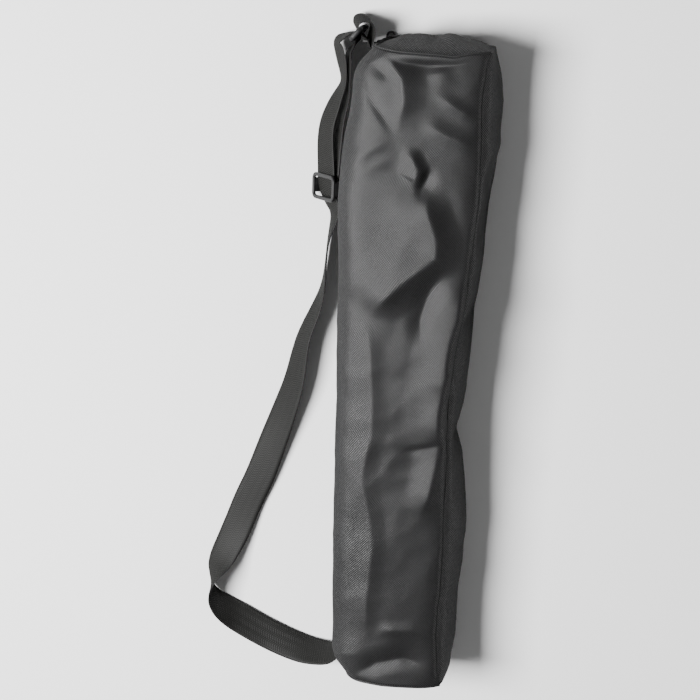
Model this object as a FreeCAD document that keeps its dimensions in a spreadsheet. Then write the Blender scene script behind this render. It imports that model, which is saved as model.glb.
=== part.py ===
import FreeCAD, Part

import math
import os

import Sketcher

# A long soft carry bag for a folded music stand, lying on its back with its shoulder strap
# beside it.  Millimetres.  +X is to the right seen from above, +Y runs from the bottom end to
# the top end, +Z is up, and the origin is in the middle of the back face, on the floor.

DOC = FreeCAD.newDocument("carry_bag")
NODES = []

SIZES = {
    # the bag
    "bag_length": 510.0,
    "bag_depth": 72.0,
    "left_side": 56.0,
    "right_top": 58.0,
    "right_bottom": 46.0,
    "cloth": 1.2,
    "round_left": 13.0,
    "round_seam": 5.0,
    "seam_inset": 3.0,
    # the binding tape on the inner seams
    "binding_width": 8.0,
    "binding_thick": 0.8,
    "binding_gap": 0.3,
    "binding_high": 6.0,
    "binding_low": 8.0,
    "binding_short": 20.0,
    # the zip in the back face
    "zip_middle": 30.0,
    "zip_top": 250.0,
    "zip_bottom": 205.0,
    "channel_width": 20.0,
    "channel_depth": 3.2,
    "tape_thick": 0.6,
    "tape_foot": 3.0,
    "row_gap": 1.0,
    "row_width": 1.5,
    "row_height": 1.6,
    "slider_length": 12.0,
    "slider_width": 8.0,
    "slider_plate": 1.0,
    "slider_top": 234.0,
    "slider_clear": 0.3,
    "slider_cheek": 0.9,
    "post_width": 0.7,
    "post_length": 3.0,
    "ear_gap": 1.4,
    "ear_width": 1.2,
    "ear_length": 4.2,
    "pin_radius": 0.5,
    "pin_reach": 2.2,
    "pin_height": 1.4,
    "pin_along": 235.9,
    "eye_clear": 0.06,
    "eye_width": 2.2,
    "pull_thick": 1.2,
    "pull_width": 8.0,
    "pull_length": 23.0,
    "pull_wire": 1.4,
    "pull_neck": 4.0,
    # the webbing and its fittings
    "web_width": 25.0,
    "web_thick": 1.6,
    "ring_x": 56.5,
    "ring_y": 262.0,
    "ring_z": 18.5,
    "ring_bar": 4.0,
    "ring_gap": 7.0,
    "ring_inside": 27.0,
    "ring_angle": 49.0,
    "ring_round": 1.8,
    "tab_loop": 6.6,
    "tab_stem": 13.0,
    "tab_angle": 125.0,
    "adjuster_length": 24.0,
    "adjuster_width": 34.0,
    "adjuster_rail": 3.2,
    "adjuster_bar": 3.0,
    "adjuster_y": 142.0,
    "tack_thick": 0.4,
}


def make_sheet():
    """The driving dimensions, one named cell each."""
    sheet = DOC.addObject("Spreadsheet::Sheet", "Sizes")
    for row, (name, value) in enumerate(SIZES.items(), start=1):
        sheet.set(f"A{row}", name)
        sheet.set(f"B{row}", str(value))
        sheet.setAlias(f"B{row}", name)
    DOC.recompute()
    return sheet


SHEET = make_sheet()


def size(name):
    """A driving dimension as a number."""
    return float(SHEET.get(name))


ADJUSTER_LEAN = 60.0
ADJUSTER_X = -70.5
ADJUSTER_Z = 17.2
RETURN_DROP = size("web_thick") / 2 + 0.35 + size("adjuster_bar") / 2

# The strap's route from the bottom of the left side to the ring: x, y, z and its lean in degrees,
# where 0 lies flat and 90 stands on edge; up to 90 the edge on the right of the way is up.
STRAP_ROUTE = [
    (-58.4, -248.0, 20.0, 82.0),
    (-80.0, -254.0, 13.5, 58.0),
    (-106.0, -251.0, 9.2, 36.0),
    (-134.0, -239.0, 6.5, 24.0),
    (-157.0, -219.0, 8.4, 36.0),
    (-164.0, -195.0, 8.4, 34.0),
    (-152.0, -165.0, 3.8, 12.0),
    (-136.0, -130.0, 2.8, 6.0),
    (-119.0, -87.0, 3.6, 10.0),
    (-104.0, -43.0, 7.0, 26.0),
    (-92.0, 2.0, 10.4, 44.0),
    (-78.0, 45.0, 14.0, 68.0),
    (-70.5, 92.0, 17.2, 60.0),
    (-70.5, 208.0, 17.2, 60.0),
    (-68.9, 236.0, 18.5, 90.0),
    (-63.0, 258.6, 18.5, 90.0),
]
RETURN_ROUTE = [
    (-57.2, 257.1, 18.5, 90.0),
    (-62.6, 236.0, 18.2, 92.0),
    (-66.0, 206.0, 17.0, 110.0),
    (-68.2, 174.0, 15.9, 120.0),
    (-68.2, 143.7, 15.9, 120.0),
]


def cell(formula):
    """A formula with each dimension's name written as its sheet cell."""
    words = []
    for word in formula.split():
        words.append("Sizes." + word if word in SIZES else word)
    return " ".join(words)


def bind(obj, **formulas):
    """Ties an object's properties to the sheet; place_x stands for Placement.Base.x."""
    paths = {"place_x": "Placement.Base.x", "place_y": "Placement.Base.y", "place_z": "Placement.Base.z"}
    for name, formula in formulas.items():
        obj.setExpression(paths.get(name, name), cell(formula))


def keep(obj, label):
    """Names a finished sub-part."""
    obj.Label = label
    NODES.append(obj)
    return obj


def box(name, long_x, long_y, long_z, at_x, at_y, at_z, turn=0.0):
    """A box between formulas, turned about its own corner's Z by turn degrees."""
    solid = DOC.addObject("Part::Box", name)
    solid.Placement = FreeCAD.Placement(FreeCAD.Vector(), FreeCAD.Rotation(FreeCAD.Vector(0, 0, 1), turn))
    bind(solid, Length=long_x, Width=long_y, Height=long_z, place_x=at_x, place_y=at_y, place_z=at_z)
    return solid


def rod(name, radius, height, axis, at_x, at_y, at_z):
    """A cylinder along an axis from a point."""
    solid = DOC.addObject("Part::Cylinder", name)
    spin = FreeCAD.Rotation(FreeCAD.Vector(0, 0, 1), FreeCAD.Vector(*axis))
    solid.Placement = FreeCAD.Placement(FreeCAD.Vector(), spin)
    bind(solid, Radius=radius, Height=height, place_x=at_x, place_y=at_y, place_z=at_z)
    return solid


def join(name, *solids):
    """One solid from several that touch, or a group of separate ones."""
    fused = DOC.addObject("Part::MultiFuse", name)
    fused.Shapes = list(solids)
    return fused


def cut(name, base, tool):
    result = DOC.addObject("Part::Cut", name)
    result.Base = base
    result.Tool = tool
    return result


def common(name, base, tool):
    result = DOC.addObject("Part::Common", name)
    result.Base = base
    result.Tool = tool
    return result


def new_body(name):
    return DOC.addObject("PartDesign::Body", name)


def sketch_on(body, name, plane):
    """A sketch on one of the body's own origin planes."""
    sketch = body.newObject("Sketcher::SketchObject", name)
    base = [f for f in body.Origin.OriginFeatures if f.Role == plane][0]
    sketch.AttachmentSupport = (base, [""])
    sketch.MapMode = "FlatFace"
    return sketch


def outline(sketch, corners):
    """A closed outline of straight lines whose corners are pairs of formulas."""
    first = sketch.GeometryCount
    count = len(corners)
    points = []
    for across, along in corners:
        points.append(FreeCAD.Vector(value_of(across), value_of(along), 0))
    for i in range(count):
        sketch.addGeometry(Part.LineSegment(points[i], points[(i + 1) % count]), False)
    for i in range(count):
        follower = first + (i + 1) % count
        sketch.addConstraint(Sketcher.Constraint("Coincident", first + i, 2, follower, 1))
    for i, (across, along) in enumerate(corners):
        pin(sketch, "DistanceX", first + i, 1, across, points[i].x)
        pin(sketch, "DistanceY", first + i, 1, along, points[i].y)


def pin(sketch, kind, geometry, vertex, formula, value):
    """Fixes one coordinate of a point to a formula."""
    index = sketch.addConstraint(Sketcher.Constraint(kind, -1, 1, geometry, vertex, value))
    sketch.setExpression(f"Constraints[{index}]", cell(formula))


def circle(sketch, across, along, radius):
    """A circle whose centre and radius are formulas."""
    centre = FreeCAD.Vector(value_of(across), value_of(along), 0)
    index = sketch.addGeometry(Part.Circle(centre, FreeCAD.Vector(0, 0, 1), value_of(radius)), False)
    pin(sketch, "DistanceX", index, 3, across, centre.x)
    pin(sketch, "DistanceY", index, 3, along, centre.y)
    held = sketch.addConstraint(Sketcher.Constraint("Radius", index, value_of(radius)))
    sketch.setExpression(f"Constraints[{held}]", cell(radius))


def value_of(formula):
    """The number that a formula stands for: words are sheet cells, signs are read left to right."""
    total = 0.0
    sign = 1.0
    product = None
    for word in formula.split():
        if word in "+-":
            total += sign * (product if product is not None else 0.0)
            sign = 1.0 if word == "+" else -1.0
            product = None
        elif word in "*/":
            pending = word
            product = (product, pending)
        else:
            number = size(word) if word in SIZES else float(word)
            if isinstance(product, tuple):
                product = product[0] * number if product[1] == "*" else product[0] / number
            else:
                product = number
    return total + sign * (product if product is not None else 0.0)


def pad(body, sketch, name, length, both_ways=False):
    feature = body.newObject("PartDesign::Pad", name)
    feature.Profile = sketch
    feature.Midplane = both_ways
    feature.setExpression("Length", cell(length))
    return feature


def set_place(obj, across, along, up, rotation=None):
    """Places a sub-part, its position tied to the sheet."""
    obj.Placement = FreeCAD.Placement(FreeCAD.Vector(), rotation or FreeCAD.Rotation())
    bind(obj, place_x=across, place_y=along, place_z=up)


# ---------------------------------------------------------------- the bag's cloth

TAPER = math.degrees(math.atan2(size("right_top") - size("right_bottom"), size("bag_length")))


def bag_block(name, inset):
    """The bag as a rounded tapered block, set in by inset on every side."""
    body = new_body(name)
    sketch = sketch_on(body, name + "_outline", "XY_Plane")
    half = f"bag_length / 2 - {inset}"
    low = f"{inset} - bag_length / 2"
    corners = [
        (f"{inset} - left_side", low),
        (f"right_bottom - {inset}", low),
        (f"right_top - {inset}", half),
        (f"{inset} - left_side", half),
    ]
    outline(sketch, corners)
    block = pad(body, sketch, name + "_pad", f"bag_depth - {inset} - {inset}")
    DOC.recompute()
    left = []
    for i, edge in enumerate(block.Shape.Edges, start=1):
        reach = edge.BoundBox
        if reach.YLength > 100 and reach.XMax < 0:
            left.append(f"Edge{i}")
    soft = body.newObject("PartDesign::Fillet", name + "_left_round")
    soft.Base = (block, left)
    soft.setExpression("Radius", cell(f"round_left - {inset}"))
    DOC.recompute()
    sharp = []
    for i, edge in enumerate(soft.Shape.Edges, start=1):
        reach = edge.BoundBox
        long_right = reach.YLength > 100 and reach.XMin > 0
        at_end = reach.YLength < 0.01
        if long_right or at_end:
            sharp.append(f"Edge{i}")
    seams = body.newObject("PartDesign::Fillet", name + "_seam_round")
    seams.Base = (soft, sharp)
    seams.setExpression("Radius", cell(f"round_seam - {inset}"))
    set_place(body, "0", "0", f"{inset}")
    DOC.recompute()
    return body


def make_cloth():
    """The five cloth panels, cut from one thin shell along the seams."""
    shell = cut("shell", bag_block("outer_block", "0"), bag_block("inner_block", "cloth"))
    far = "bag_length + 40"
    near = "0 - bag_length / 2 - 20"
    channel = box(
        "zip_channel", "channel_width", "zip_top + zip_bottom + 8", "channel_depth + 1",
        "0 - zip_middle - channel_width / 2", "0 - zip_bottom - 2", "-1",
    )
    cloth = cut("cloth_shell", shell, channel)
    top_side = box("top_side", "200", "40", "200", "-100", "bag_length / 2 - seam_inset", "-50")
    end_side = box("end_side", "200", "40", "200", "-100", "seam_inset - bag_length / 2 - 40", "-50")
    right_side = box(
        "right_side", "60", far, "200", "right_bottom - seam_inset - 0.5", near, "-50", -TAPER
    )
    back_side = box(
        "back_side", "120", far, "bag_depth / 2 + 10", "channel_width / 2 - zip_middle", near, "-10"
    )
    ends = join("both_ends", top_side, end_side)
    tube = cut("cloth_tube", cloth, ends)
    rest = cut("tube_less_right", tube, right_side)
    keep(cut("front_cut", rest, back_side), "front_wrap_panel")
    keep(common("back_cut", rest, back_side), "back_panel")
    keep(common("right_cut", tube, right_side), "right_gusset")
    keep(common("top_cut", cloth, top_side), "top_end_panel")
    keep(common("bottom_cut", cloth, end_side), "bottom_end_panel")


def make_bindings():
    """Binding tape over the raw edges of the seams inside the bag."""
    inner = "cloth + binding_gap"
    for label, height in (
        ("seam_binding_front", "bag_depth - binding_high - binding_width"),
        ("seam_binding_back", "binding_low"),
    ):
        strip = box(
            label + "_strip", "binding_thick", "bag_length - 2 * binding_short", "binding_width",
            f"right_bottom - {inner} - binding_thick - 0.4", "binding_short - bag_length / 2", height, -TAPER,
        )
        keep(strip, label)
    for label, at_y, right in (
        ("seam_binding_top", f"bag_length / 2 - {inner} - binding_width - 4", "right_top"),
        ("seam_binding_bottom", f"{inner} + 4 - bag_length / 2", "right_bottom"),
    ):
        low_x = "cloth + 5 - left_side"
        outer = box(label + "_out", f"left_side + {right} - 11", "binding_width", "bag_depth - 12",
                    low_x, at_y, "binding_low")
        hole = box(label + "_in", f"left_side + {right} - 11 - 2 * binding_thick", "binding_width + 2",
                   "bag_depth - 12 - 2 * binding_thick", f"{low_x} + binding_thick", f"{at_y} - 1",
                   "binding_low + binding_thick")
        keep(cut(label + "_ring", outer, hole), label)


# ---------------------------------------------------------------- the zip

TAPE_LOW = "channel_depth"
ROW_LOW = "channel_depth + tape_thick"


def mirrored(formula):
    """The negative of a formula that only adds and subtracts."""
    swapped = formula.replace(" - ", " ~ ").replace(" + ", " - ").replace(" ~ ", " + ")
    return f"0 - {swapped}"


def zip_half(label, side):
    """One tape with its stepped foot, and its row of teeth; side is -1 left of the middle."""
    body = new_body(label + "_body")
    sketch = sketch_on(body, label + "_outline", "XZ_Plane")
    inner, wall, foot = "row_gap / 2", "channel_width / 2", "channel_width / 2 + tape_foot"
    profile = [
        (inner, f"{TAPE_LOW}"),
        (f"{wall} - 0.2", f"{TAPE_LOW}"),
        (f"{wall} - 0.2", "cloth + 0.05"),
        (foot, "cloth + 0.05"),
        (foot, "cloth + 0.05 + tape_thick"),
        (f"{wall} - 0.2 + tape_thick", "cloth + 0.05 + tape_thick"),
        (f"{wall} - 0.2 + tape_thick", f"{TAPE_LOW} + tape_thick"),
        (inner, f"{TAPE_LOW} + tape_thick"),
    ]
    placed = []
    for across, up in profile:
        signed = across if side > 0 else mirrored(across)
        placed.append((signed, up))
    outline(sketch, placed)
    pad(body, sketch, label + "_pad", "zip_top + zip_bottom")
    set_place(body, "0 - zip_middle", "zip_top", "0")
    keep(body, label)
    row_x = "0 - zip_middle + row_gap / 2" if side > 0 else "0 - zip_middle - row_gap / 2 - row_width"
    row = box(label + "_row", "row_width", "zip_top + zip_bottom - 8", "row_height",
              row_x, "4 - zip_bottom", f"{ROW_LOW}")
    keep(row, label.replace("tape", "teeth"))


def make_stops():
    """The crimped stops at both ends of the teeth."""
    stops = []
    for i, at_x in enumerate(("0 - zip_middle - row_gap / 2 - 2", "0 - zip_middle + row_gap / 2")):
        stops.append(box(f"top_stop_{i}", "2", "3", "row_height", at_x, "zip_top - 3.8", f"{ROW_LOW}"))
    keep(join("top_stop_pair", *stops), "zip_top_stops")
    keep(
        box("bottom_stop", "row_gap + 5", "3.5", "row_height + 0.3", "0 - zip_middle - row_gap / 2 - 2.5",
            "0.2 - zip_bottom", f"{ROW_LOW}"),
        "zip_bottom_stop",
    )


def make_slider():
    """The slider: two plates joined by the post between the rows, cheeks, and the pull's pin."""
    low = "0 - slider_width / 2 - zip_middle"
    start = "slider_top - slider_length"
    under = "channel_depth - slider_clear - slider_plate"
    over = "channel_depth + tape_thick + row_height + slider_clear"
    parts = [
        box("slider_low", "slider_width", "slider_length", "slider_plate", low, start, under),
        box("slider_high", "slider_width", "slider_length", "slider_plate", low, start, over),
        box("slider_post", "post_width", "post_length",
            "tape_thick + row_height + 2 * slider_clear + slider_plate",
            "0 - post_width / 2 - zip_middle", "slider_top - post_length - 0.5", under),
    ]
    for i, at_x in enumerate((low, "slider_width / 2 - zip_middle - slider_cheek")):
        parts.append(box(f"slider_cheek_{i}", "slider_cheek", "slider_length", "row_height",
                         at_x, start, f"{over} - row_height"))
    ear_low = "pin_height - ear_width / 2"
    for i, at_x in enumerate(("0 - zip_middle - ear_gap - ear_width", "ear_gap - zip_middle")):
        parts.append(box(f"slider_ear_{i}", "ear_width", "ear_length", "slider_plate + 0.1", at_x,
                         "slider_top - ear_width", ear_low))
        parts.append(box(f"slider_root_{i}", "ear_width", "ear_width", "ear_width", at_x,
                         "slider_top - ear_width", ear_low))
    parts.append(rod("slider_pin", "pin_radius", "2 * pin_reach", (1, 0, 0), "0 - zip_middle - pin_reach",
                     "pin_along", "pin_height"))
    keep(join("slider_solid", *parts), "zip_slider")


def make_pull():
    """The pull: an eye on the slider's pin, a neck and a flat loop that reaches past the top end."""
    eye_left = "0 - zip_middle - eye_width / 2"
    eye = rod("pull_eye", "pin_radius + 0.55", "eye_width", (1, 0, 0), eye_left, "pin_along", "pin_height")
    bore = rod("pull_bore", "pin_radius + eye_clear", "2 * eye_width", (1, 0, 0),
               "0 - zip_middle - eye_width", "pin_along", "pin_height")
    low = "pin_height - pull_thick / 2"
    neck = box("neck_block", "eye_width", "pull_neck", "pull_thick", eye_left, "pin_along + 0.7", low)
    plate = box("pull_plate", "pull_width", "pull_length - pull_neck - pull_width / 2", "pull_thick",
                "0 - zip_middle - pull_width / 2", "pin_along + pull_neck", low)
    tip = rod("pull_tip", "pull_width / 2", "pull_thick", (0, 0, 1), "0 - zip_middle",
              "pin_along + pull_length - pull_width / 2", low)
    window = box("pull_window", "pull_width - 2 * pull_wire",
                 "pull_length - pull_neck - pull_width / 2 - pull_wire", "5",
                 "pull_wire - zip_middle - pull_width / 2", "pin_along + pull_neck + pull_wire", "-1")
    window_tip = rod("pull_window_tip", "pull_width / 2 - pull_wire", "5", (0, 0, 1), "0 - zip_middle",
                     "pin_along + pull_length - pull_width / 2", "-1")
    solid = join("pull_blank", eye, neck, plate, tip)
    keep(cut("pull_solid", solid, join("pull_cutter", bore, window, window_tip)), "zip_pull")


# ---------------------------------------------------------------- the ring, its tab and the adjuster


def ring_point(along):
    """A point on the ring's short axis, measured from its middle towards the strap."""
    turn = math.radians(size("ring_angle"))
    return (
        -size("ring_x") - along * math.cos(turn),
        size("ring_y") - along * math.sin(turn),
    )


def make_ring():
    """A moulded rectangular ring that stands on edge, its long bars upright."""
    body = new_body("ring_body")
    sketch = sketch_on(body, "ring_outline", "XZ_Plane")
    half_x = "ring_gap / 2 + ring_bar"
    half_z = "ring_inside / 2 + ring_bar"
    corners = [
        (f"0 - {half_x.replace('+', '-')}", f"0 - {half_z.replace('+', '-')}"),
        (half_x, f"0 - {half_z.replace('+', '-')}"),
        (half_x, half_z),
        (f"0 - {half_x.replace('+', '-')}", half_z),
    ]
    outline(sketch, corners)
    inside = [
        ("0 - ring_gap / 2", "0 - ring_inside / 2"),
        ("ring_gap / 2", "0 - ring_inside / 2"),
        ("ring_gap / 2", "ring_inside / 2"),
        ("0 - ring_gap / 2", "ring_inside / 2"),
    ]
    outline(sketch, inside)
    block = pad(body, sketch, "ring_pad", "ring_bar", True)
    DOC.recompute()
    soft = body.newObject("PartDesign::Fillet", "ring_round")
    soft.Base = (block, [f"Edge{i}" for i in range(1, len(block.Shape.Edges) + 1)])
    soft.setExpression("Radius", cell("ring_round"))
    spin = FreeCAD.Rotation(FreeCAD.Vector(0, 0, 1), size("ring_angle"))
    set_place(body, "0 - ring_x", "ring_y", "ring_z", spin)
    keep(body, "strap_ring")


def make_tab():
    """The webbing tab at the top left corner: a doubled stem and an open loop round the ring's bar."""
    body = new_body("tab_body")
    sketch = sketch_on(body, "tab_outline", "XY_Plane")
    circle(sketch, "0.01", "0.01", "tab_loop + web_thick")
    pad(body, sketch, "tab_pad", "web_width", True)
    stem_sketch = sketch_on(body, "stem_outline", "XY_Plane")
    corners = [
        ("0 - web_thick - 0.2", "0 - tab_stem"),
        ("web_thick + 0.2", "0 - tab_stem"),
        ("web_thick + 0.2", "0 - tab_loop + 0.2"),
        ("0 - web_thick - 0.2", "0 - tab_loop + 0.2"),
    ]
    outline(stem_sketch, corners)
    pad(body, stem_sketch, "stem_pad", "web_width", True)
    hole = body.newObject("PartDesign::Pocket", "tab_pocket")
    hole_sketch = sketch_on(body, "tab_hole", "XY_Plane")
    circle(hole_sketch, "0.01", "0.01", "tab_loop")
    hole.Profile = hole_sketch
    hole.Type = 1
    hole.Midplane = True
    body.Tip = hole
    bar_x, bar_y = ring_point(-(size("ring_gap") + size("ring_bar")) / 2)
    lean = FreeCAD.Rotation(FreeCAD.Vector(0, 0, 1), size("tab_angle") - 90)
    set_place(body, f"0 - {-bar_x:.3f} + 1.2", f"{bar_y:.3f} + 0.6", "ring_z", lean)
    keep(body, "ring_tab")


def make_tacks():
    """Blocks of bar-tack stitching: on the tab's stem, at the strap's lower end, on its sewn end."""
    turn = math.radians(size("tab_angle") - 90)
    bar_x, bar_y = ring_point(-(size("ring_gap") + size("ring_bar")) / 2)
    thick = size("tack_thick")
    pair = []
    for side in (-1, 1):
        local_x = side * (size("web_thick") + 0.25 + thick / 2)
        local_y = -size("tab_loop") - 3.4
        block = DOC.addObject("Part::Box", f"tab_tack_{side + 1}")
        bind(block, Length="tack_thick", Width="2.4", Height="web_width - 3")
        corner_x = local_x - thick / 2
        corner_y = local_y - 1.2
        at_x = bar_x + 1.2 + corner_x * math.cos(turn) - corner_y * math.sin(turn)
        at_y = bar_y + 0.6 + corner_x * math.sin(turn) + corner_y * math.cos(turn)
        spin = FreeCAD.Rotation(FreeCAD.Vector(0, 0, 1), math.degrees(turn))
        at = FreeCAD.Vector(at_x, at_y, size("ring_z") - (size("web_width") - 3) / 2)
        block.Placement = FreeCAD.Placement(at, spin)
        pair.append(block)
    keep(join("tab_tack_pair", *pair), "tab_bar_tack")
    low = STRAP_ROUTE[0]
    anchor = box("anchor_tack", f"{-low[0]} - left_side - 0.05", "6", "web_width + 1", f"{low[0]}",
                 f"{low[1]} - 3", f"{low[2]} - web_width / 2 - 0.5")
    keep(anchor, "anchor_bar_tack")
    end = DOC.addObject("Part::Box", "strap_end_tack_block")
    bind(end, Length="web_width - 4", Width="2.5", Height="tack_thick")
    spin = FreeCAD.Rotation(FreeCAD.Vector(0, 1, 0), -ADJUSTER_LEAN)
    drop = RETURN_DROP + size("web_thick") / 2 + 0.02 + thick
    offset = spin.multVec(FreeCAD.Vector(2 - size("web_width") / 2, 5.0, -drop))
    middle = FreeCAD.Vector(ADJUSTER_X, size("adjuster_y"), ADJUSTER_Z)
    end.Placement = FreeCAD.Placement(middle + offset, spin)
    keep(end, "strap_end_tack")


def make_adjuster():
    """The three-bar slide: two rails and three bars, leaning with the strap that runs through it."""
    half = "adjuster_length / 2"
    wide = "adjuster_width / 2"
    bar_near = "0 - web_thick / 2 - 0.35 - adjuster_bar"
    bar_far = "web_thick / 2 + 0.35"
    parts = []
    rail_height = "2 * adjuster_bar + web_thick + 0.7"
    for i, at_x in enumerate((f"0 - {wide}", f"{wide} - adjuster_rail")):
        parts.append(box(f"rail_{i}", "adjuster_rail", "adjuster_length", rail_height,
                         at_x, f"0 - {half}", bar_near))
    for i, at_y in enumerate((f"0 - {half}", f"{half} - adjuster_bar")):
        parts.append(box(f"outer_bar_{i}", "adjuster_width", "adjuster_bar", "adjuster_bar",
                         f"0 - {wide}", at_y, bar_far))
    parts.append(box("middle_bar", "adjuster_width", "adjuster_bar", "adjuster_bar",
                     f"0 - {wide}", "0 - adjuster_bar / 2", bar_near))
    solid = join("adjuster_solid", *parts)
    spin = FreeCAD.Rotation(FreeCAD.Vector(0, 1, 0), -ADJUSTER_LEAN)
    solid.Placement = FreeCAD.Placement(FreeCAD.Vector(ADJUSTER_X, size("adjuster_y"), ADJUSTER_Z), spin)
    keep(solid, "slide_adjuster")


# ---------------------------------------------------------------- the shoulder strap

def round_the_bar():
    """The strap's half turn round the ring's lower bar, from the end of its route."""
    centre_x, centre_y = ring_point((size("ring_gap") + size("ring_bar")) / 2)
    height = size("ring_z")
    first = FreeCAD.Vector(STRAP_ROUTE[-1][0], STRAP_ROUTE[-1][1], height)
    last = FreeCAD.Vector(RETURN_ROUTE[0][0], RETURN_ROUTE[0][1], height)
    over = (last - first).cross(FreeCAD.Vector(0, 0, -1)).normalize()
    reach = (last - first).Length / 2
    top = FreeCAD.Vector(centre_x, centre_y, height) + over * reach
    return Part.Arc(first, top, last).toShape()


def smooth_path(points):
    """Straight runs joined by tangent arcs, each as large as its two runs allow."""
    edges = []
    radii = []
    start = points[0]
    for i in range(1, len(points) - 1):
        before = points[i] - points[i - 1]
        after = points[i + 1] - points[i]
        turn = before.getAngle(after)
        reach = 0.45 * min(before.Length, after.Length)
        radii.append(reach / math.tan(turn / 2))
        enter = points[i] - before.normalize() * reach
        leave = points[i] + after.normalize() * reach
        inward = (enter + leave) * 0.5 - points[i]
        depth = radii[-1] / math.cos(turn / 2) - radii[-1]
        middle = points[i] + inward.normalize() * depth
        edges.append(Part.LineSegment(start, enter).toShape())
        edges.append(Part.Arc(enter, middle, leave).toShape())
        start = leave
    edges.append(Part.LineSegment(start, points[-1]).toShape())
    return edges, radii


def webbing(label, route, finish=()):
    """A ribbon of webbing that follows its route and turns about its own line to its lean."""
    points = [FreeCAD.Vector(x, y, z) for x, y, z, lean in route]
    edges, radii = smooth_path(points)
    stops = [0.0]
    for i in range(1, len(points)):
        stops.append(stops[-1] + (points[i] - points[i - 1]).Length)
    leans = [lean for x, y, z, lean in route]
    along_route = sum(e.Length for e in edges)
    edges = edges + list(finish)
    total = sum(e.Length for e in edges)
    sections = []
    travelled = 0.0
    for edge in edges:
        straight = edge.Curve.TypeId == "Part::GeomLine"
        bend = 0.0 if straight else edge.Length / edge.Curve.Radius
        steps = max(2, int(edge.Length / 9), int(bend / 0.15))
        first = 0 if not sections else 1
        for k in range(first, steps + 1):
            share = edge.FirstParameter + (edge.LastParameter - edge.FirstParameter) * k / steps
            here = edge.valueAt(share)
            ahead = edge.tangentAt(share)
            done = (travelled + edge.Length * k / steps) / along_route
            lean = lean_at(done * stops[-1], stops, leans)
            sections.append(section(here, ahead, lean))
        travelled += edge.Length
    solid = Part.makeLoft(sections, True, True)
    flat = size("web_width") * size("web_thick") * total
    print(label, "length %.0f" % total, "volume ratio %.3f" % (solid.Volume / flat))
    print(label, "radii", [round(r) for r in radii])
    feature = DOC.addObject("Part::Feature", label + "_ribbon")
    feature.Shape = solid
    keep(feature, label)


def lean_at(distance, stops, leans):
    """The lean part way along the route."""
    for i in range(1, len(stops)):
        if distance <= stops[i] or i == len(stops) - 1:
            share = (distance - stops[i - 1]) / (stops[i] - stops[i - 1])
            share = max(0.0, min(1.0, share))
            return leans[i - 1] + (leans[i] - leans[i - 1]) * share


def section(here, ahead, lean):
    """The webbing's rectangle across its line, leaning about it."""
    level = ahead.cross(FreeCAD.Vector(0, 0, 1)).normalize()
    upright = level.cross(ahead).normalize()
    turn = math.radians(lean)
    across = level * math.cos(turn) + upright * math.sin(turn)
    through = ahead.cross(across).normalize()
    half = across * (size("web_width") / 2)
    skin = through * (size("web_thick") / 2)
    corners = [here - half - skin, here + half - skin, here + half + skin, here - half + skin]
    return Part.makePolygon(corners + [corners[0]])


def make_straps():
    webbing("shoulder_strap", STRAP_ROUTE, [round_the_bar()])
    webbing("strap_return", RETURN_ROUTE)


def check_and_write():
    """Stops on any failed feature or shape, then writes one file for each sub-part."""
    DOC.recompute()
    for obj in DOC.Objects:
        if "Invalid" in obj.State or "Error" in obj.State:
            raise RuntimeError(f"{obj.Name} failed: {obj.State}")
    os.makedirs("parts", exist_ok=True)
    for obj in NODES:
        shape = obj.Shape
        if shape.isNull() or not shape.isValid() or not shape.Solids:
            raise RuntimeError(f"{obj.Label} has no valid shape")
        reach = shape.BoundBox
        print("%-22s solids %d volume %9.1f  x %.1f..%.1f  y %.1f..%.1f  z %.1f..%.1f" % (
            obj.Label, len(shape.Solids), shape.Volume, reach.XMin, reach.XMax, reach.YMin, reach.YMax,
            reach.ZMin, reach.ZMax))
        shape.exportStep(f"parts/{obj.Label}.step")


make_cloth()
make_bindings()
zip_half("zip_tape_left", -1)
zip_half("zip_tape_right", 1)
make_stops()
make_slider()
make_pull()
make_ring()
make_tab()
make_adjuster()
make_tacks()
make_straps()
check_and_write()
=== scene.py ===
import math

import bmesh
import bpy
import numpy as np
from mathutils import Matrix, Vector, noise


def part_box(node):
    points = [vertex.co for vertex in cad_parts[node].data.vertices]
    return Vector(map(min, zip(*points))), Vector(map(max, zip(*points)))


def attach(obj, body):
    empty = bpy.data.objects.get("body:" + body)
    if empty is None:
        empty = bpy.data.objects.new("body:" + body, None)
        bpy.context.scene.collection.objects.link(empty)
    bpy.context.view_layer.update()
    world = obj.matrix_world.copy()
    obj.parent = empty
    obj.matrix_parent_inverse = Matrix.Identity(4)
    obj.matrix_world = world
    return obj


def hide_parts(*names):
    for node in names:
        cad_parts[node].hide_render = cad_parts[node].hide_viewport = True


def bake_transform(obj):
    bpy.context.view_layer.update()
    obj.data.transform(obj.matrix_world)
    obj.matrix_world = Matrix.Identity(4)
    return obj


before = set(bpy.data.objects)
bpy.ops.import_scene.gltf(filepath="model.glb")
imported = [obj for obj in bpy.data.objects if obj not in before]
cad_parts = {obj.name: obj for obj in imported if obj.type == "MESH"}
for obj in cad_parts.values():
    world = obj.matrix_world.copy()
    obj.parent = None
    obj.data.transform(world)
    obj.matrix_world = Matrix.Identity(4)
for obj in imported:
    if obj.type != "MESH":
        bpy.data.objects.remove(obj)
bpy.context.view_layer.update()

MM = 0.001
CLOTH_THICK = 0.5


# ------------------------------------------------------------------ small helpers


def metres(*xyz):
    """A point given in millimetres."""
    return Vector(xyz) * MM


def table(y, stations):
    """A value read from (place, value) stations, in straight lines between them."""
    ys = np.array([s[0] for s in stations], float)
    values = np.array([s[1] for s in stations], float)
    order = np.argsort(ys)
    return np.interp(y, ys[order], values[order])


def soften(values, passes):
    """A row of values with its corners rounded."""
    out = np.array(values, float)
    for _ in range(passes):
        inner = (out[:-2] + 2 * out[1:-1] + out[2:]) / 4
        out[1:-1] = inner
    return out


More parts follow.
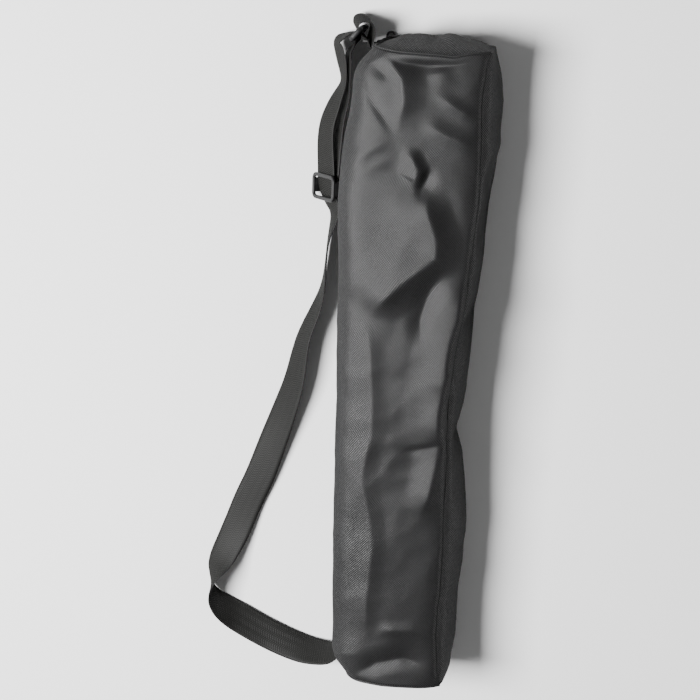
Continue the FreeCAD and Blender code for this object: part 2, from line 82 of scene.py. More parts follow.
def mesh_object(name, verts, faces, weave=None, smooth=True):
    """A mesh piece from millimetre vertices; weave holds each vertex's place in the cloth."""
    mesh = bpy.data.meshes.new(name)
    mesh.from_pydata([tuple(v) for v in np.asarray(verts) * MM], [], [tuple(f) for f in faces])
    if weave is not None:
        layer = mesh.attributes.new("weave", "FLOAT_VECTOR", "POINT")
        flat = np.zeros((len(verts), 3), np.float32)
        flat[:, :2] = np.asarray(weave, np.float32)[:, :2]
        layer.data.foreach_set("vector", flat.ravel())
    mesh.polygons.foreach_set("use_smooth", [smooth] * len(mesh.polygons))
    mesh.update()
    piece = bpy.data.objects.new(name, mesh)
    bpy.context.scene.collection.objects.link(piece)
    return piece


def grid_faces(rows, cols, closed=False):
    """Quads of a grid of rows by cols; closed joins the last column to the first."""
    faces = []
    last = cols if closed else cols - 1
    for i in range(rows - 1):
        for j in range(last):
            k = (j + 1) % cols
            faces.append((i * cols + j, i * cols + k, (i + 1) * cols + k, (i + 1) * cols + j))
    return faces


def modify(piece, kind, **settings):
    made = piece.modifiers.new(kind.lower(), kind)
    for name, value in settings.items():
        setattr(made, name, value)
    return made


def finish_piece(piece, body, slot, material, *nodes):
    """Gives a piece its material and its body, and hides the CAD nodes it stands for; slot is not used."""
    piece.data.materials.clear()
    piece.data.materials.append(material)
    if body:
        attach(piece, body)
    if nodes:
        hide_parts(*nodes)
    return piece


# ------------------------------------------------------------------ camera, light and floor

# A scratch script fitted these to a few corners of the bag read from the photograph. The height
# and the sideways place were chosen among nine fits, and the photograph hardly decides them.
CAMERA_AT = Vector((0.120, 0.321, 1.250))
CAMERA_AIM = Vector((-0.0545, 0.0038, 0.0))
CAMERA_ROLL = math.radians(1.85)
CAMERA_LENS = 82.6


def make_camera():
    """The camera, built from its place, its aim and its roll."""
    back = (CAMERA_AT - CAMERA_AIM).normalized()
    level = Vector((0, 1, 0)).cross(back).normalized()
    upward = back.cross(level)
    right = level * math.cos(CAMERA_ROLL) + upward * math.sin(CAMERA_ROLL)
    top = upward * math.cos(CAMERA_ROLL) - level * math.sin(CAMERA_ROLL)
    data = bpy.data.cameras.new("camera")
    data.lens = CAMERA_LENS
    data.sensor_width = 36
    camera = bpy.data.objects.new("camera", data)
    bpy.context.scene.collection.objects.link(camera)
    turn = Matrix((right, top, back)).transposed().to_4x4()
    camera.matrix_world = Matrix.Translation(CAMERA_AT) @ turn
    bpy.context.scene.camera = camera


def area_light(name, at, aim, size, power):
    data = bpy.data.lights.new(name, "AREA")
    data.shape = "RECTANGLE"
    data.size = size[0]
    data.size_y = size[1]
    data.energy = power
    lamp = bpy.data.objects.new(name, data)
    bpy.context.scene.collection.objects.link(lamp)
    lamp.location = at
    lamp.rotation_euler = (Vector(aim) - Vector(at)).to_track_quat("-Z", "Y").to_euler()


def make_stage():
    """A pale floor, a faint even sky and three soft lights."""
    size = 6.0
    mesh = bpy.data.meshes.new("floor")
    corners = [(-size, -size, 0), (size, -size, 0), (size, size, 0), (-size, size, 0)]
    mesh.from_pydata(corners, [], [(0, 1, 2, 3)])
    floor = bpy.data.objects.new("floor", mesh)
    bpy.context.scene.collection.objects.link(floor)
    paint = bpy.data.materials.new("floor_paint")
    paint.use_nodes = True
    shader = paint.node_tree.nodes["Principled BSDF"]
    shader.inputs["Base Color"].default_value = (0.95, 0.95, 0.95, 1)
    shader.inputs["Roughness"].default_value = 0.9
    mesh.materials.append(paint)
    world = bpy.data.worlds.new("studio")
    world.use_nodes = True
    world.node_tree.nodes["Background"].inputs["Color"].default_value = (1, 1, 1, 1)
    world.node_tree.nodes["Background"].inputs["Strength"].default_value = 0.1
    bpy.context.scene.world = world
    area_light("key", (-0.98, 0.04, 1.40), (0, 0, 0.03), (0.62, 0.8), 88)
    area_light("top", (0.2, 1.5, 1.2), (0, 0, 0.03), (0.8, 0.5), 1.2)
    area_light("rim", (1.2, -0.4, 1.0), (0, -0.05, 0.03), (0.5, 1.0), 2.5)


# ------------------------------------------------------------------ materials


def node(tree, kind, **settings):
    made = tree.nodes.new(kind)
    for name, value in settings.items():
        setattr(made, name, value)
    return made


def maths(tree, operation, first, second=None, third=None):
    made = node(tree, "ShaderNodeMath", operation=operation)
    for i, value in enumerate((first, second, third)):
        if value is None:
            continue
        if isinstance(value, (int, float)):
            made.inputs[i].default_value = value
        else:
            tree.links.new(value, made.inputs[i])
    return made.outputs[0]


def blank(name, roughness, specular, sheen=0.0):
    material = bpy.data.materials.new(name)
    material.use_nodes = True
    tree = material.node_tree
    shader = tree.nodes["Principled BSDF"]
    shader.inputs["Roughness"].default_value = roughness
    shader.inputs["Specular IOR Level"].default_value = specular
    shader.inputs["Sheen Weight"].default_value = sheen
    shader.inputs["Sheen Roughness"].default_value = 0.45
    return material, tree, shader


def colour_ramp(tree, value, stops):
    ramp = node(tree, "ShaderNodeValToRGB")
    tree.links.new(value, ramp.inputs["Fac"])
    elements = ramp.color_ramp.elements
    while len(elements) < len(stops):
        elements.new(0.5)
    for element, (place, colour) in zip(elements, stops):
        element.position = place
        element.color = (*colour, 1)
    return ramp.outputs["Color"]


def weave_axes(tree):
    """The cloth's own two directions, in millimetres."""
    place = node(tree, "ShaderNodeAttribute", attribute_name="weave")
    split = node(tree, "ShaderNodeSeparateXYZ")
    tree.links.new(place.outputs["Vector"], split.inputs[0])
    return place.outputs["Vector"], split.outputs["X"], split.outputs["Y"]


def wave(tree, value, period):
    turned = maths(tree, "MULTIPLY", value, 2 * math.pi / period)
    return maths(tree, "SINE", turned)


def cloudy(tree, vector, scale, detail, distortion=0.0):
    cloud = node(tree, "ShaderNodeTexNoise")
    cloud.inputs["Scale"].default_value = scale
    cloud.inputs["Detail"].default_value = detail
    cloud.inputs["Distortion"].default_value = distortion
    tree.links.new(vector, cloud.inputs["Vector"])
    return cloud.outputs["Fac"]


def duller_edgewise(tree, shader, rough):
    """Cloth loses its gloss where it is seen edgewise."""
    view = node(tree, "ShaderNodeLayerWeight")
    view.inputs["Blend"].default_value = 0.5
    edge = maths(tree, "POWER", view.outputs["Facing"], 1.6)
    total = maths(tree, "MULTIPLY_ADD", edge, 0.8, rough)
    tree.links.new(maths(tree, "MINIMUM", total, 1.0), shader.inputs["Roughness"])


def bump(tree, shader, height, strength, distance):
    made = node(tree, "ShaderNodeBump")
    made.inputs["Strength"].default_value = strength
    made.inputs["Distance"].default_value = distance
    tree.links.new(height, made.inputs["Height"])
    tree.links.new(made.outputs["Normal"], shader.inputs["Normal"])


# Millimetres from one crown of the basket weave to the next.
WEAVE_PITCH = 1.95


def oxford_cloth():
    """Black coated polyester in a basket weave: crowns of the yarns catch the light, and the colour is
    painted lighter there, a painted highlight, and darker between them, painted shade.
    """
    material, tree, shader = blank("oxford_cloth", 0.42, 0.38)
    vector, across, along = weave_axes(tree)
    basket = maths(tree, "MULTIPLY", wave(tree, across, WEAVE_PITCH), wave(tree, along, WEAVE_PITCH))
    yarns = maths(tree, "MULTIPLY", wave(tree, across, WEAVE_PITCH / 4), wave(tree, along, WEAVE_PITCH / 4))
    drift = cloudy(tree, vector, 0.45, 3.0)
    patch = cloudy(tree, vector, 0.03, 2.0)
    crown = maths(tree, "MULTIPLY_ADD", basket, 0.42, 0.5)
    crown = maths(tree, "ADD", crown, maths(tree, "MULTIPLY_ADD", drift, 0.5, -0.25))
    shade = maths(tree, "ADD", crown, maths(tree, "MULTIPLY_ADD", patch, 0.3, -0.15))
    shade = maths(tree, "MULTIPLY_ADD", yarns, 0.05, shade)
    # The base colour follows the weave: lighter on the crowns, a painted highlight, and darker in the gaps
    # between yarns, painted shade; drift and patch add random tone.
    stops = [
        (0.25, (0.0003, 0.0003, 0.0004)),
        (0.5, (0.0016, 0.0016, 0.0018)),
        (0.85, (0.023, 0.023, 0.024)),
    ]
    tree.links.new(colour_ramp(tree, shade, stops), shader.inputs["Base Color"])
    duller_edgewise(tree, shader, maths(tree, "MULTIPLY_ADD", crown, -0.68, 0.84))
    bump(tree, shader, crown, 0.85, 0.00027)
    return material


def webbing_cloth():
    """Woven polypropylene webbing: fine cross ribs in a herringbone, with a firmer edge."""
    material, tree, shader = blank("webbing", 0.55, 0.24)
    vector, across, along = weave_axes(tree)
    zigzag = maths(tree, "PINGPONG", across, 3.1)
    slant = maths(tree, "ADD", along, maths(tree, "MULTIPLY", zigzag, 0.55))
    ribs = wave(tree, slant, 1.7)
    cords = wave(tree, across, 1.55)
    pattern = maths(tree, "MULTIPLY", ribs, maths(tree, "MULTIPLY_ADD", cords, 0.35, 0.65))
    drift = cloudy(tree, vector, 0.9, 3.0)
    height = maths(tree, "MULTIPLY_ADD", pattern, 0.34, maths(tree, "MULTIPLY_ADD", drift, 0.4, 0.3))
    # The colour follows the ribs: lighter on their crests, a painted highlight, and darker in the grooves,
    # painted shade; drift adds random tone.
    stops = [(0.15, (0.0008, 0.0008, 0.0008)), (0.55, (0.003, 0.003, 0.0028)), (0.95, (0.036, 0.036, 0.032))]
    tree.links.new(colour_ramp(tree, height, stops), shader.inputs["Base Color"])
    duller_edgewise(tree, shader, maths(tree, "MULTIPLY_ADD", pattern, -0.1, 0.58))
    bump(tree, shader, height, 0.8, 0.00034)
    return material


def tape_cloth(name, light):
    """Flat woven tape with fine ribs, placed in object space."""
    material, tree, shader = blank(name, 0.7, 0.3)
    spot = node(tree, "ShaderNodeTexCoord").outputs["Object"]
    split = node(tree, "ShaderNodeSeparateXYZ")
    tree.links.new(spot, split.inputs[0])
    weft = wave(tree, split.outputs["Y"], 0.0011)
    warp = wave(tree, split.outputs["X"], 0.0009)
    fine = maths(tree, "MULTIPLY", weft, warp)
    drift = cloudy(tree, spot, 350.0, 3.0)
    height = maths(tree, "MULTIPLY_ADD", fine, 0.3, drift)
    # The colour is random tone from the drift, with a painted highlight on the weave's crests and painted
    # shade between them.
    stops = [(0.2, (0.003, 0.003, 0.003)), (0.9, (light, light, light))]
    tree.links.new(colour_ramp(tree, height, stops), shader.inputs["Base Color"])
    bump(tree, shader, height, 0.5, 0.0003)
    return material


def moulded_plastic():
    """Black moulded acetal, satin, a little scuffed."""
    material, tree, shader = blank("moulded_plastic", 0.45, 0.3)
    spot = node(tree, "ShaderNodeTexCoord").outputs["Object"]
    grain = cloudy(tree, spot, 900.0, 4.0)
    scuff = cloudy(tree, spot, 140.0, 6.0, 1.2)
    tone = maths(tree, "MULTIPLY_ADD", scuff, 0.7, maths(tree, "MULTIPLY", grain, 0.3))
    stops = [(0.3, (0.006, 0.006, 0.0063)), (0.62, (0.013, 0.013, 0.0135)), (0.9, (0.04, 0.04, 0.04))]
    tree.links.new(colour_ramp(tree, tone, stops), shader.inputs["Base Color"])
    tree.links.new(maths(tree, "MULTIPLY_ADD", scuff, 0.35, 0.3), shader.inputs["Roughness"])
    bump(tree, shader, grain, 0.2, 0.0002)
    return material


def enamelled_metal():
    """Black enamel on die-cast zinc, worn lighter where it rubs."""
    material, tree, shader = blank("enamelled_metal", 0.3, 0.6)
    spot = node(tree, "ShaderNodeTexCoord").outputs["Object"]
    worn = cloudy(tree, spot, 500.0, 5.0, 0.6)
    stops = [(0.45, (0.006, 0.006, 0.0065)), (0.72, (0.015, 0.015, 0.015)), (0.85, (0.1, 0.098, 0.095))]
    tree.links.new(colour_ramp(tree, worn, stops), shader.inputs["Base Color"])
    tree.links.new(maths(tree, "MULTIPLY_ADD", worn, 0.3, 0.18), shader.inputs["Roughness"])
    bump(tree, shader, worn, 0.1, 0.0002)
    return material


def bonded_thread():
    """Tight black thread."""
    material, tree, shader = blank("bonded_thread", 0.5, 0.5, 0.2)
    spot = node(tree, "ShaderNodeTexCoord").outputs["Object"]
    split = node(tree, "ShaderNodeSeparateXYZ")
    tree.links.new(spot, split.inputs[0])
    turned = maths(tree, "ADD", split.outputs["Z"], split.outputs["Y"])
    ply = wave(tree, turned, 0.0009)
    # The colour follows the plies: lighter on their crests, a painted highlight, and darker between them,
    # painted shade.
    stops = [(0.2, (0.004, 0.004, 0.004)), (0.95, (0.03, 0.03, 0.03))]
    tone = maths(tree, "MULTIPLY_ADD", ply, 0.4, 0.5)
    tree.links.new(colour_ramp(tree, tone, stops), shader.inputs["Base Color"])
    bump(tree, shader, ply, 0.5, 0.0002)
    return material


CLOTH = oxford_cloth()
WEBBING = webbing_cloth()
BINDING = tape_cloth("binding_tape", 0.025)
ZIP_TAPE = tape_cloth("zip_tape_weave", 0.02)
PLASTIC = moulded_plastic()
ENAMEL = enamelled_metal()
THREAD = bonded_thread()


# ------------------------------------------------------------------ the strap

STRAP_WIDTH = 25.0
STRAP_THICK = 1.5
# Where the return's weave goes on from the strap's, in millimetres along the webbing.
RETURN_WEAVE_START = 620
POINT_SPACING = 1.5
# Shifts the weave on the webbing's other face, so the two faces differ.
BACK_SHIFT = 40

# The strap's route as x, y, z in millimetres and its lean in degrees: 0 lies flat, 90 stands on
# edge, more than 90 is turned over. It follows the CAD strap but isn't part.py's list of points.
# Most places were read from the photograph and turned into millimetres by a scratch script.
STRAP_ROUTE = [
    (-48.5, -243.5, 25.0, 96.0),
    (-53.0, -249.5, 23.0, 100.0),
    (-62.0, -255.6, 18.0, 112.0),
    (-76.9, -257.2, 12.5, 128.0),
    (-91.3, -255.4, 9.0, 145.0),
    (-114.1, -248.0, 7.5, 157.0),
    (-140.0, -234.5, 8.5, 150.0),
    (-156.0, -223.0, 12.0, 122.0),
    (-164.5, -211.0, 13.5, 92.0),
    (-163.5, -196.0, 12.5, 62.0),
    (-157.4, -183.0, 8.0, 30.0),
    (-145.7, -157.5, 4.0, 10.0),
    (-136.1, -130.4, 2.6, 5.0),
    (-126.2, -108.5, 3.0, 8.0),
    (-118.8, -86.7, 4.0, 14.0),
    (-111.5, -65.1, 5.5, 23.0),
    (-104.1, -43.4, 7.5, 33.0),
    (-97.6, -22.1, 9.5, 42.0),
    (-94.6, -1.5, 10.5, 50.0),
    (-89.8, 19.3, 12.0, 60.0),
    (-80.4, 39.9, 13.0, 66.0),
    (-75.1, 60.0, 14.0, 76.0),
    (-74.1, 79.5, 14.0, 82.0),
    (-72.1, 99.0, 15.0, 80.0),
    (-67.6, 116.0, 16.0, 68.0),
    (-70.5, 126.0, 16.5, 56.0),
    (-75.2, 138.0, 17.0, 50.0),
    (-75.6, 155.0, 17.0, 50.0),
    (-77.0, 172.0, 17.0, 52.0),
    (-76.0, 188.7, 17.0, 56.0),
    (-70.8, 202.7, 17.0, 60.0),
    (-65.5, 213.8, 18.0, 70.0),
    (-63.2, 221.0, 18.0, 74.0),
    (-64.8, 232.0, 18.0, 66.0),
    (-67.2, 243.0, 18.5, 64.0),
    (-70.5, 251.0, 18.5, 68.0),
    (-64.5, 254.5, 18.5, 80.0),
    (-57.6, 257.6, 18.5, 90.0),
    (-52.6, 256.0, 18.5, 90.0),
    (-53.4, 252.2, 18.5, 90.0),
]
# The return from the ring to the adjuster, in the same form. It isn't part.py's list either.
RETURN_ROUTE = [
    (-53.4, 252.0, 18.5, 90.0),
    (-56.5, 247.0, 18.5, 98.0),
    (-60.4, 243.0, 18.4, 108.0),
    (-61.2, 232.0, 18.2, 112.0),
    (-60.3, 220.0, 18.0, 108.0),
    (-61.8, 207.0, 17.6, 112.0),
    (-66.3, 194.0, 17.0, 118.0),
    (-69.4, 176.0, 16.0, 124.0),
    (-71.6, 158.0, 15.4, 130.0),
    (-72.9, 141.4, 15.1, 130.0),
]


def spline_points(route):
    """Points along the smooth line whose control points are the route, in millimetres."""
    data = bpy.data.curves.new("route", "CURVE")
    data.dimensions = "3D"
    data.resolution_u = 10
    spline = data.splines.new("NURBS")
    spline.points.add(len(route) - 1)
    for point, (x, y, z, _) in zip(spline.points, route):
        point.co = (x, y, z, 1)
    spline.order_u = 3
    spline.use_endpoint_u = True
    holder = bpy.data.objects.new("route", data)
    bpy.context.scene.collection.objects.link(holder)
    bpy.context.view_layer.update()
    line = bpy.data.meshes.new_from_object(holder.evaluated_get(bpy.context.evaluated_depsgraph_get()))
    points = np.array([v.co for v in line.vertices], float)
    bpy.data.objects.remove(holder)
    bpy.data.meshes.remove(line)
    return points


def even_points(points, spacing):
    """The same line with its points evenly spaced."""
    steps = np.linalg.norm(np.diff(points, axis=0), axis=1)
    along = np.concatenate([[0], np.cumsum(steps)])
    count = max(3, int(along[-1] / spacing) + 1)
    places = np.linspace(0, along[-1], count)
    return np.stack([np.interp(places, along, points[:, k]) for k in range(3)], axis=1)


def leans_along(points, route):
    """The strap's lean at each point, from the nearest place on the route's runs."""
    route = np.array(route, float)
    leans = []
    for p in points:
        best = None
        for a, b in zip(route[:-1], route[1:]):
            run = b[:3] - a[:3]
            share = np.clip(np.dot(p - a[:3], run) / np.dot(run, run), 0, 1)
            gap = np.linalg.norm(a[:3] + share * run - p)
            if best is None or gap < best[0]:
                best = (gap, a[3] + share * (b[3] - a[3]))
        leans.append(best[1])
    return soften(leans, 14)


def frames_along(points, leans):
    """Each point's directions across the webbing and through it."""
    ahead = np.gradient(points, axis=0)
    ahead /= np.linalg.norm(ahead, axis=1)[:, None]
    level = np.cross(ahead, (0, 0, 1))
    level /= np.linalg.norm(level, axis=1)[:, None]
    upright = np.cross(level, ahead)
    turn = np.radians(leans)[:, None]
    across = level * np.cos(turn) + upright * np.sin(turn)
    return across, np.cross(ahead, across)


def close_ends(faces, count, cols):
    """Adds the two end faces of a tube of count rings."""
    last = (count - 1) * cols
    faces.append(tuple(range(cols))[::-1])
    faces.append(tuple(last + k for k in range(cols)))


def web_section(columns):
    """Webbing's cross-section, round its edges: places across it and through it, from -1 to 1."""
    sides = np.linspace(-1, 1, columns)
    swell = np.sqrt(np.clip(1 - np.abs(sides) ** 7, 0.05, 1))
    return list(zip(np.concatenate([sides, sides[::-1]]), np.concatenate([swell, -swell[::-1]])))


def ribbon(name, points, leans, start=0.0):
    """The strap's webbing along a line: rounded edges, a slight flutter and weave coordinates."""
    across, through = frames_along(points, leans)
    steps = np.linalg.norm(np.diff(points, axis=0), axis=1)
    along = start + np.concatenate([[0], np.cumsum(steps)])
    section = web_section(13)
    verts = []
    weave = []
    for i, centre in enumerate(points):
        flutter = 0.25 * math.sin(along[i] / 11.0) + 0.2 * math.sin(along[i] / 4.7 + 1.0)
        for u, n in section:
            edge = 0.35 * flutter * u * u
            beside = u * STRAP_WIDTH / 2
            verts.append(centre + across[i] * beside + through[i] * (n * STRAP_THICK / 2 + edge))
            weave.append((beside + (BACK_SHIFT if n < 0 else 0), along[i]))
    faces = grid_faces(len(points), len(section), closed=True)
    close_ends(faces, len(points), len(section))
    return flip_if_inside_out(mesh_object(name, verts, faces, weave))


def flip_if_inside_out(piece):
    """Turns every face outwards on a closed mesh."""
    work = bmesh.new()
    work.from_mesh(piece.data)
    bmesh.ops.recalc_face_normals(work, faces=work.faces)
    work.to_mesh(piece.data)
    work.free()
    return piece


def make_straps():
    """The long strap and its return from the ring to the adjuster."""
    points = even_points(spline_points(STRAP_ROUTE), POINT_SPACING)
    strap = ribbon("strap_webbing", points, leans_along(points, STRAP_ROUTE))
    back = even_points(spline_points(RETURN_ROUTE), POINT_SPACING)
    turned = ribbon("strap_return_webbing", back, leans_along(back, RETURN_ROUTE), RETURN_WEAVE_START)
    finish_piece(strap, None, "webbing", WEBBING, "shoulder_strap")
    finish_piece(turned, None, "webbing", WEBBING, "strap_return")
    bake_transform(strap)
    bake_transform(turned)
    return strap, turned, points


# ------------------------------------------------------------------ the bag's shape

# The bag's outlines in millimetres, as (y, x) stations. Most were read from the photograph and
# turned into millimetres by a scratch script, then adjusted.
LEFT_EDGE = [
    (-256, -42), (-252, -45.5), (-247, -51), (-239, -54.5), (-145, -56.5), (-88, -57), (-20, -57.5),
    (42, -58.5), (105, -60), (139, -60.5), (164, -59.5), (188, -57), (207, -53.5), (230, -51.5),
    (240, -49.5), (246, -45), (251, -39.5), (256, -36),
]
RIGHT_SEAM = [
    (-256, 36), (-214, 33), (-189, 33.5), (-158, 35), (-102, 34.5), (-62, 34), (-30, 33.5), (-5, 34),
    (19, 36), (47, 40.5), (64, 42.5), (99, 45.5), (142, 48.5), (167, 49.5), (199, 48.5), (221, 48),
    (256, 51),
]
RIGHT_BELLY = [
    (-256, 40), (-223, 43), (-187, 43.5), (-148, 43.5), (-124, 45.5), (-100, 44.5), (-69, 40.5), (-50, 34.5),
    (-25, 40.5), (3, 43.5), (19, 44.5), (37, 45.5), (53, 45.5), (70, 47.5), (101, 50.5), (136, 53.5),
    (162, 56), (201, 58), (215, 58.5), (236, 56), (256, 51),
]
# The end seams at the front, as (x, y) stations.
TOP_SEAM = [
    (-60, 251), (-40, 250), (-29, 248.5), (-15, 247), (0, 246.5), (13, 246), (25, 245), (36, 247.5),
    (60, 249.5),
]
BOTTOM_SEAM = [(-60, -249), (-40, -252), (-10, -253), (20, -252.5), (50, -250)]
HALF = 255.0
# Where the end seams lie at the back.
BACK_END = 251.0
DEPTH = 70.0
CHANNEL_LEFT = -40.3
CHANNEL_RIGHT = -19.7
CHANNEL_LIP = 3.0
ZIP_LOW = -205.0
ZIP_HIGH = 250.0

# Folds, each a line of (x, y) points in millimetres, its height, and how far it reaches to either
# side. A negative height is a valley. Most lines were read from the photograph and turned into
# millimetres by a scratch script.
FOLDS = [
    ([(-38, 250), (-21, 240), (-12, 228), (-10, 213), (-15, 188)], 3.4, 9, 17),
    ([(-12, 176), (-3, 171), (2, 162), (1, 153), (-5, 147)], 4.2, 17, 8),
    ([(-15, 187), (-35, 175), (-51, 160)], 1.5, 12, 10),
    ([(-12, 173), (-32, 163), (-50, 150)], 0.9, 8, 8),
    ([(6, 152), (11, 129), (18, 111), (18, 98), (12, 92), (-2, 81), (-19, 64), (-33, 47)], 7.5, 46, 19),
    ([(38, 84), (36, 66), (35, 51), (30, 31), (28, 15), (28, -8)], 6.4, 26, 8),
    ([(31, 22), (27, 0), (24, -27), (25, -58)], 6.6, 28, 8),
    ([(27, -46), (24, -69), (20, -92), (12, -112)], 4.8, 19, 12),
    ([(33, -46), (20, -52), (-6, -58)], -1.3, 4, 6),
    ([(30, -234), (4, -230), (-16, -236), (-38, -251)], -4.0, 16, 11),
    ([(30, -211), (11, -204), (-9, -205), (-18, -216)], 1.8, 8, 10),
    ([(50, 243), (26, 239), (7, 238), (-15, 240), (-38, 246)], -4.0, 6, 16),
    ([(-42, 240), (-29, 233), (-20, 223)], -1.5, 10, 10),
    ([(45, 241), (22, 236), (3, 228)], 2.5, 8, 14),
    ([(10, 220), (27, 209), (47, 198)], 2.0, 7, 8),
    ([(1, 198), (24, 187), (47, 178)], 2.5, 10, 10),
    ([(13, 166), (9, 159), (4, 147), (-2, 146)], -3.0, 5, 9),
    ([(-50, 230), (-37, 214), (-25, 199), (-13, 183)], -1.3, 5, 7),
    ([(-32, 48), (-28, 15), (-25, -37), (-32, -82), (-24, -115), (-22, -140), (-25, -182), (-24, -216)],
     1.8, 12, 12),
    ([(27, 92), (15, 72), (8, 49), (11, 22)], -3.0, 12, 10),
]
END_FOLDS = [
    ([(-22, 64), (-15, 42), (-12, 18)], 2.2, 8, 14),
    ([(3, 66), (8, 45), (3, 20)], -2.0, 9, 9),
    ([(25, 65), (19, 44), (26, 18)], 1.8, 10, 12),
    ([(-36, 52), (-38, 20)], -1.6, 8, 8),
]
SIDE_FOLDS = [
    ([(48, 62), (42, 34), (38, 10), (36, -18)], -5.0, 8, 8),
    ([(53, 184), (52, 130), (48, 86)], -3.0, 9, 9),
    ([(60, 190), (52, 172), (50, 150)], 2.5, 7, 7),
    ([(44, -96), (44, -140), (42, -184)], 2.2, 10, 10),
]


def stroke_height(x, y, folds):
    """The folds' height at each place: a crisp crest along each line that slopes away on both sides."""
    total = np.zeros_like(x)
    for line, height, reach_left, reach_right in folds:
        line = np.array(line, float)
        runs = np.linalg.norm(np.diff(line, axis=0), axis=1)
        whole = runs.sum()
        nearest = np.full(x.shape, 1e9)
        place = np.zeros_like(x)
        side = np.zeros_like(x)
        done = 0.0
        for a, b, run in zip(line[:-1], line[1:], runs):
            dx, dy = (b - a) / run
            share = np.clip((x - a[0]) * dx + (y - a[1]) * dy, 0, run)
            gap_x = x - a[0] - share * dx
            gap_y = y - a[1] - share * dy
            gap = np.hypot(gap_x, gap_y)
            closer = gap < nearest
            nearest = np.where(closer, gap, nearest)
            place = np.where(closer, (done + share) / whole, place)
            side = np.where(closer, gap_y * dx - gap_x * dy, side)
            done += run
        fade = np.clip(np.minimum(place, 1 - place) * whole / np.clip(0.38 * whole, 9.0, 27.0), 0, 1)
        fade = fade * fade * (3 - 2 * fade)
        rightness = 0.5 + 0.5 * np.tanh(side / 2.0)
        reach = reach_left + (reach_right - reach_left) * rightness
        away = np.clip((np.sqrt(nearest ** 2 + 1.0) - 1.0) / reach, 0, 1)
        total += height * (1 - away) ** 1.6 * fade
    return total


SLANT = np.array([(0.8, 0.35, 0.0), (-0.6, 0.55, 0.0), (0.0, 0.0, 0.9)])


def crumple(points, scale, seed):
    """Smooth repeatable noise at each point."""
    shift = Vector((seed * 17.3, seed * 5.1, seed * 9.7))
    return np.array([noise.noise(Vector(p) * scale + shift) for p in points])


def smooth_curve(controls, count):
    """A smooth open line through a few points, evenly spaced."""
    controls = np.array(controls, float)
    fine = []
    padded = np.vstack([2 * controls[0] - controls[1], controls, 2 * controls[-1] - controls[-2]])
    for i in range(1, len(padded) - 2):
        a, b, c, d = padded[i - 1:i + 3]
        for t in np.linspace(0, 1, 12, endpoint=False):
            fine.append(0.5 * (2 * b + (c - a) * t + (2 * a - 5 * b + 4 * c - d) * t ** 2
                               + (3 * b - a - 3 * c + d) * t ** 3))
    fine.append(controls[-1])
    fine = np.array(fine)
    along = np.concatenate([[0], np.cumsum(np.linalg.norm(np.diff(fine, axis=0), axis=1))])
    places = np.linspace(0, along[-1], count)
    return np.stack([np.interp(places, along, fine[:, k]) for k in range(2)], axis=1)


def section_controls(left, seam, belly):
    """The bag's cross-section as x, z: the wrap, the back and the gusset, each from seam to seam."""
    wrap = [
        (seam, 64.5), (seam - 7, 67.8), (seam - 20, 69.8), ((left + seam) / 2, 71.0), (left + 24, 70.0),
        (left + 11, 66.5), (left + 3.5, 58.5), (left + 0.6, 47.0), (left, 35.0), (left + 0.6, 22.0),
        (left + 3.0, 10.5), (left + 8.5, 3.2), (left + 14.0, 0.7), (CHANNEL_LEFT, 0.5),
        (CHANNEL_LEFT, CHANNEL_LIP),
    ]
    back = [
        (CHANNEL_RIGHT, CHANNEL_LIP), (CHANNEL_RIGHT, 0.5), (0, 0.4), (belly - 16, 0.4), (belly - 7, 1.4),
        (belly - 2.5, 5.0),
    ]
    gusset = [
        (belly - 2.5, 5.0), (belly - 0.6, 12.0), (belly, 23.0), (belly - 0.6, 36.0),
        ((belly + seam) / 2, 52.0), (seam + 1.2, 60.0), (seam, 64.5),
    ]
    return wrap, back, gusset


ROWS = 320
WRAP_COLS = 126
BACK_COLS = 36
GUSSET_COLS = 44


def panel_points(which, columns):
    """One panel's vertices, rows along Y and columns round the section, before its folds."""
    rows = []
    ys = np.linspace(-HALF, HALF, ROWS)
    lefts = soften(table(ys, LEFT_EDGE), 12)
    seams = soften(table(ys, RIGHT_SEAM), 8)
    bellies = soften(table(ys, RIGHT_BELLY), 5)
    for y, left, seam, belly in zip(ys, lefts, seams, bellies):
        curve = smooth_curve(section_controls(left, seam, belly)[which], columns)
        share = (y + HALF) / (2 * HALF)
        top = table(curve[:, 0], TOP_SEAM)
        bottom = table(curve[:, 0], BOTTOM_SEAM)
        height = np.clip(curve[:, 1] / DEPTH, 0, 1)
        top = BACK_END + (top - BACK_END) * height
        bottom = -BACK_END + (bottom + BACK_END) * height
        place = bottom + (top - bottom) * share
        rows.append(np.stack([curve[:, 0], place, curve[:, 1]], axis=1))
    return np.array(rows)


def grid_normals(points):
    """Outward directions on a grid of points."""
    along = np.gradient(points, axis=0)
    round_it = np.gradient(points, axis=1)
    normals = np.cross(round_it, along)
    return normals / np.linalg.norm(normals, axis=2)[:, :, None]


def seam_dip(points, seam_line, depth, width):
    """How far the cloth draws in beside a seam that runs along the panel's edge."""
    gap = np.linalg.norm(points - seam_line, axis=2)
    return -depth * np.exp(-(gap / width) ** 2)


